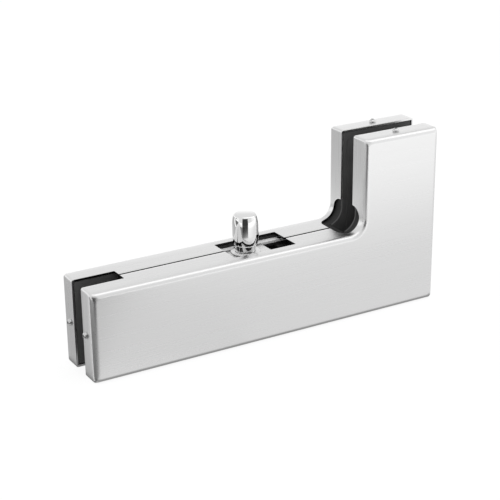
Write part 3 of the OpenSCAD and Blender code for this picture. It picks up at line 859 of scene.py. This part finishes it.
def floor_patch(tree, stage, place):
    """Factor for a dark wedge of the floor in reflections. It opens from the pin towards the camera, and
    the far card stands at its end, so that a dark bar runs down the pin."""
    about = add_node(tree, "ShaderNodeMapping", {"Location": (AXIS[0], AXIS[1], 0.0),
                                                 "Rotation": (0.0, 0.0, -stage.yaw)}, vector_type="TEXTURE")
    tree.links.new(place, about.inputs["Vector"])
    parts = split(tree, about.outputs[0])
    ahead = combine(tree, "MULTIPLY", parts["Y"], -1.0)
    turn = combine(tree, "ARCTAN2", combine(tree, "ABSOLUTE", parts["X"]), ahead)
    inside = map_range(tree, turn, WEDGE_TURN, 1.0, 0.0)
    dark = map_range(tree, distance(tree, about.outputs[0]), WEDGE_AWAY, 0.0, WEDGE_DARK)
    return combine(tree, "SUBTRACT", 1.0, combine(tree, "MULTIPLY", inside, dark))


def floor_tone(tree, stage):
    """Tone of the floor in reflections: it goes round the arm's lower left corner by FLOOR_TONES, levels
    off further away, rises to the front, and falls close to the fitting as a painted contact shadow."""
    place = add_node(tree, "ShaderNodeTexCoord").outputs["Object"]
    about = add_node(tree, "ShaderNodeMapping", {"Location": (*COVER_LOW[:2], 0.0),
                                                 "Scale": (-1.0, -1.0, 0.0)})
    tree.links.new(place, about.inputs["Vector"])
    parts = split(tree, about.outputs[0])
    turn = combine(tree, "ARCTAN2", parts["X"], parts["Y"])
    ramp = add_node(tree, "ShaderNodeValToRGB")
    stops = ramp.color_ramp.elements
    while len(stops) < len(FLOOR_TONES):
        stops.new(0.5)
    for stop, (degrees, tone) in zip(stops, FLOOR_TONES):
        stop.position = (degrees + 180) / 360
        stop.color = grey(tone)
    tree.links.new(combine(tree, "MULTIPLY_ADD", turn, 0.5 / np.pi, 0.5), ramp.inputs["Fac"])
    near = combine(tree, "MULTIPLY", ramp.outputs["Color"], BRIGHTEST)
    far = map_range(tree, distance(tree, about.outputs[0]), LEVEL_AWAY, 0.0, 1.0)
    level = combine(tree, "MULTIPLY", far, map_range(tree, parts["Y"], LEVEL_FRONT, 0.0, 1.0))
    mixed = mix(tree, "FLOAT", level, near, stage.floor)
    tone = combine(tree, "ADD", mixed, map_range(tree, parts["Y"], RISE_FRONT, 0.0, stage.floor_gain))
    tone = combine(tree, "MULTIPLY", tone, floor_patch(tree, stage, place))
    across = split(tree, place)
    sides = [combine(tree, "SUBTRACT", combine(tree, "ABSOLUTE", across[axis]), half)
             for axis, half in (("X", COVER_HIGH[0]), ("Y", -COVER_LOW[1]))]
    gap = combine(tree, "MAXIMUM", *sides)
    return combine(tree, "MULTIPLY", tone, map_range(tree, gap, CONTACT_SHADOW_GAP, stage.contact_shadow, 1.0))


def stage_material(name):
    """A material that has lost its Principled shader, its tree, and the socket of its surface."""
    material = bpy.data.materials.new(name)
    material.use_nodes = True
    tree = material.node_tree
    tree.nodes.remove(tree.nodes["Principled BSDF"])
    return material, tree, tree.nodes["Material Output"].inputs["Surface"]


def floor_material(stage):
    """White paper: to the camera a white glow that takes some shadow, and in reflections its own tone."""
    material, tree, surface = stage_material("white_paper")
    camera, mirror = ray_kinds(tree)
    paper = add_node(tree, "ShaderNodeBsdfDiffuse", {"Color": grey(stage.bounce)})
    faint = add_node(tree, "ShaderNodeBsdfDiffuse", {"Color": grey(stage.paper)})
    white = add_node(tree, "ShaderNodeEmission", {"Strength": stage.glow})
    seen = add_node(tree, "ShaderNodeAddShader")
    tree.links.new(faint.outputs[0], seen.inputs[0])
    tree.links.new(white.outputs[0], seen.inputs[1])
    mirrored = add_node(tree, "ShaderNodeEmission")
    tree.links.new(floor_tone(tree, stage), mirrored.inputs["Strength"])
    lit = choose(tree, camera, paper.outputs[0], seen.outputs[0])
    tree.links.new(choose(tree, mirror, lit, mirrored.outputs[0]), surface)
    return material


def dark_material(tone):
    """Card of an even dark tone."""
    material, tree, surface = stage_material("black_card")
    tree.links.new(add_node(tree, "ShaderNodeEmission", {"Strength": tone}).outputs[0], surface)
    return material


def light_world(stage):
    """White for the camera, the backdrop's tone in reflections, and the ambient level elsewhere."""
    world = bpy.data.worlds.new("studio")
    world.use_nodes = True
    bpy.context.scene.world = world
    tree = world.node_tree
    camera, mirror = ray_kinds(tree)
    ambient = tree.nodes["Background"]
    ambient.inputs["Strength"].default_value = stage.ambient
    ambient.inputs["Color"].default_value = grey(1.0)
    shown = ambient.outputs[0]
    parts = split(tree, add_node(tree, "ShaderNodeTexCoord").outputs["Generated"])
    behind = map_range(tree, parts["Z"], HORIZON_UP, stage.horizon, stage.backdrop)
    ahead = map_range(tree, parts["X"], RIGHT_ACROSS, stage.backdrop, stage.right)
    backdrop = mix(tree, "FLOAT", map_range(tree, parts["Y"], FRONT_TO_BACK, 0.0, 1.0), ahead, behind)
    for rays, level in ((mirror, backdrop), (camera, 1.0)):
        tone = add_node(tree, "ShaderNodeBackground", {"Color": grey(1.0)})
        feed(tree, level, tone.inputs["Strength"])
        shown = choose(tree, rays, shown, tone.outputs[0])
    tree.links.new(shown, tree.nodes["World Output"].inputs["Surface"])


def add_camera(stage):
    """The camera at its place, turned by yaw and elevation and then rolled."""
    sin_a, cos_a = np.sin(stage.yaw), np.cos(stage.yaw)
    sin_e, cos_e = np.sin(stage.elevation), np.cos(stage.elevation)
    ahead = Vector((sin_a * cos_e, cos_a * cos_e, -sin_e))
    right = Vector((cos_a, -sin_a, 0.0))
    up = right.cross(ahead)
    sin_r, cos_r = np.sin(stage.roll), np.cos(stage.roll)
    turn = Matrix((right * cos_r + up * sin_r, up * cos_r - right * sin_r, -ahead)).transposed()
    lens = bpy.data.cameras.new("camera")
    lens.lens = stage.lens
    camera = bpy.data.objects.new("camera", lens)
    camera.matrix_world = Matrix.Translation(stage.place) @ turn.to_4x4()
    bpy.context.scene.collection.objects.link(camera)
    bpy.context.scene.camera = camera


# Operators

class PATCH_OT_groups(Operator):
    """Builds the node groups that the finishes share"""

    bl_idname = "patch.groups"
    bl_label = "Shared effects"

    def execute(self, context):
        brush_lines_group()
        fine_grain_group()
        turned_rings_group()
        return {"FINISHED"}


class PATCH_OT_covers(Operator):
    """Presses the two brushed covers"""

    bl_idname = "patch.covers"
    bl_label = "Covers"

    def execute(self, context):
        rows, masks = cover_rows(context.scene.patch_cover)
        faces = skin(rows)
        turned = [face[::-1] for face in faces]
        material = brushed_steel(context.scene.patch_finish)
        add_piece("pressed_front_cover", rows, turned, material, "fitting", "front_cover",
                  masks=masks)
        add_piece("pressed_rear_cover", rows * (1.0, -1.0, 1.0), faces, material,
                  "fitting", "rear_cover", masks=masks)
        return {"FINISHED"}


class PATCH_OT_bodies(Operator):
    """Finishes the clamp bodies, the gaskets and the glass sleeve"""

    bl_idname = "patch.bodies"
    bl_label = "Bodies and gaskets"

    def execute(self, context):
        finishes = context.scene.patch_finish
        dress(matt_coat("black_body", finishes.coat, rough=0.6, depth=0.03 * MM, fine=2200.0),
              "front_clamp_body", "rear_clamp_body")
        dress(matt_coat("gasket", finishes.rubber, rough=0.7, depth=0.04 * MM, fine=3000.0),
              "front_gasket", "rear_gasket")
        dress(matt_coat("nylon", finishes.nylon, rough=0.45, depth=0.01 * MM, fine=2000.0), "glass_sleeve")
        return {"FINISHED"}


class PATCH_OT_fasteners(Operator):
    """Finishes the hidden fasteners"""

    bl_idname = "patch.fasteners"
    bl_label = "Fasteners"

    def execute(self, context):
        finishes = context.scene.patch_finish
        dress(plated_steel("zinc_screw", finishes.zinc, rough=0.32), "strip_screws", "clamp_screws",
              "clamp_washers", "locating_dowels", "lock_screws", "thrust_washer")
        dress(plated_steel("spring_steel", finishes.spring, rough=0.38), "retaining_ring")
        return {"FINISHED"}


class PATCH_OT_carrier(Operator):
    """Finishes the carrier and the guide strips"""

    bl_idname = "patch.carrier"
    bl_label = "Carrier and guide strips"

    def execute(self, context):
        finishes = context.scene.patch_finish
        dress(ground_steel("bright_steel", finishes.bright, finishes.bright_rough, metallic=1.0),
              "pivot_carrier")
        # Painted shade: the guide strips are black below a lit band along their upper edge
        band = node_box("rear_guide_strip")[1][2] - finishes.strip_lit_band
        dress(ground_steel("satin_strip", finishes.strip, finishes.strip_rough, finishes.strip_metal,
                           black=finishes.coat, below=band),
              "front_guide_strip", "rear_guide_strip")
        return {"FINISHED"}


class PATCH_OT_pin(Operator):
    """Turns the pivot pin and its bush"""

    bl_idname = "patch.pin"
    bl_label = "Pivot pin and bush"

    def execute(self, context):
        pin = context.scene.patch_pin
        finishes = context.scene.patch_finish
        centre = np.array([AXIS[0], AXIS[1], 0.0])
        rows = turned_rows(pin_profile(pin))
        polished = turned_steel("polished_pin", finishes.polish, finishes.polish_rough, depth=0.002 * MM)
        add_piece("turned_pin", rows + centre, skin(rows), polished, "pivot", "pivot_pin")
        rows = turned_rows(bush_profile(pin))
        bright = turned_steel("bush", finishes.bright, finishes.bright_rough, depth=0.005 * MM)
        add_piece("turned_bush", rows + centre, skin(rows, closed=True), bright,
                  "carrier", "pivot_bush")
        return {"FINISHED"}


class PATCH_OT_cover_screws(Operator):
    """Cuts the four domed cover screws"""

    bl_idname = "patch.cover_screws"
    bl_label = "Cover screws"

    def execute(self, context):
        screw = context.scene.patch_screw
        rows = screw_rows(screw)
        faces = skin(rows)
        head = screw.diameter / 2 + screw.lip
        end_x, top_z = COVER_LOW[0] + screw.body, COVER_HIGH[2] - screw.body
        end_z, top_x, top_side = SCREW_LOW[2] + head, SCREW_HIGH[0] - head, SCREW_HIGH[1] - head
        left, up, back = (-1.0, 0.0, 0.0), (0.0, 0.0, 1.0), (0.0, 1.0, 0.0)
        sets = [placed(rows, (end_x, side * screw.end_side, end_z), left, back) for side in (-1, 1)]
        sets += [placed(rows, (top_x, side * top_side, top_z), up, back) for side in (-1, 1)]
        points = np.concatenate([copy.reshape(-1, 3) for copy in sets])
        count = rows.shape[0] * rows.shape[1]
        every = [[count * k + index for index in face] for k in range(len(sets)) for face in faces]
        material = plated_steel("cover_screw", context.scene.patch_finish.zinc, rough=0.14)
        add_piece("threaded_cover_screws", points, every, material, "fitting", "cover_screws")
        return {"FINISHED"}


class PATCH_OT_stage(Operator):
    """Sets the camera, the white floor and the soft light"""

    bl_idname = "patch.stage"
    bl_label = "Stage"

    def execute(self, context):
        stage = context.scene.patch_stage
        context.scene.view_settings.view_transform = "Standard"
        add_camera(stage)
        light_world(stage)
        ground = CAD_BOX[0][2] - FLOOR_GAP
        stage_sheet("floor", (0.0, 0.0, ground), (FLOOR_HALF, 0.0, 0.0), (0.0, FLOOR_HALF, 0.0),
                    floor_material(stage))
        softbox("overhead", stage.softbox_place, stage.softbox_size, stage.overhead)
        towards = np.array([-np.sin(stage.yaw), -np.cos(stage.yaw), 0.0])
        across = np.array([-towards[1], towards[0], 0.0])
        half = stage.card_height / 2
        stand = np.array([AXIS[0], AXIS[1], ground + half]) + stage.card_out * towards
        card = stage_sheet("card", stand, across * stage.card_width / 2, (0.0, 0.0, half),
                           dark_material(stage.card))
        card.visible_camera = card.visible_diffuse = card.visible_shadow = False
        return {"FINISHED"}


class PATCH_PT_fitting(Panel):
    """Steps and sizes of the fitting"""

    bl_idname = "PATCH_PT_fitting"
    bl_label = "Pivot patch fitting"
    bl_space_type = "VIEW_3D"
    bl_region_type = "UI"
    bl_category = "Patch fitting"

    def draw(self, context):
        for step in STEPS:
            self.layout.operator(step.bl_idname)
        for group in SETTINGS:
            settings = getattr(context.scene, group)
            for key in settings.__annotations__:
                self.layout.prop(settings, key)


STEPS = (PATCH_OT_groups, PATCH_OT_covers, PATCH_OT_bodies, PATCH_OT_fasteners, PATCH_OT_carrier,
         PATCH_OT_pin, PATCH_OT_cover_screws, PATCH_OT_stage)
SETTINGS = {"patch_cover": CoverSettings, "patch_pin": PinSettings, "patch_screw": ScrewSettings,
            "patch_finish": FinishSettings, "patch_stage": StageSettings}


def register():
    """Registers the classes and puts the settings on the scene."""
    for part in (*SETTINGS.values(), *STEPS, PATCH_PT_fitting):
        bpy.utils.register_class(part)
    for name, group in SETTINGS.items():
        setattr(bpy.types.Scene, name, PointerProperty(type=group))


def unregister():
    """Takes the settings off the scene and the classes out again."""
    for name in SETTINGS:
        delattr(bpy.types.Scene, name)
    for part in (PATCH_PT_fitting, *reversed(STEPS), *SETTINGS.values()):
        bpy.utils.unregister_class(part)


def main():
    """Runs every step in order."""
    register()
    bpy.ops.patch.groups()
    bpy.ops.patch.covers()
    bpy.ops.patch.bodies()
    bpy.ops.patch.fasteners()
    bpy.ops.patch.carrier()
    bpy.ops.patch.pin()
    bpy.ops.patch.cover_screws()
    bpy.ops.patch.stage()


if __name__ == "__main__":
    main()
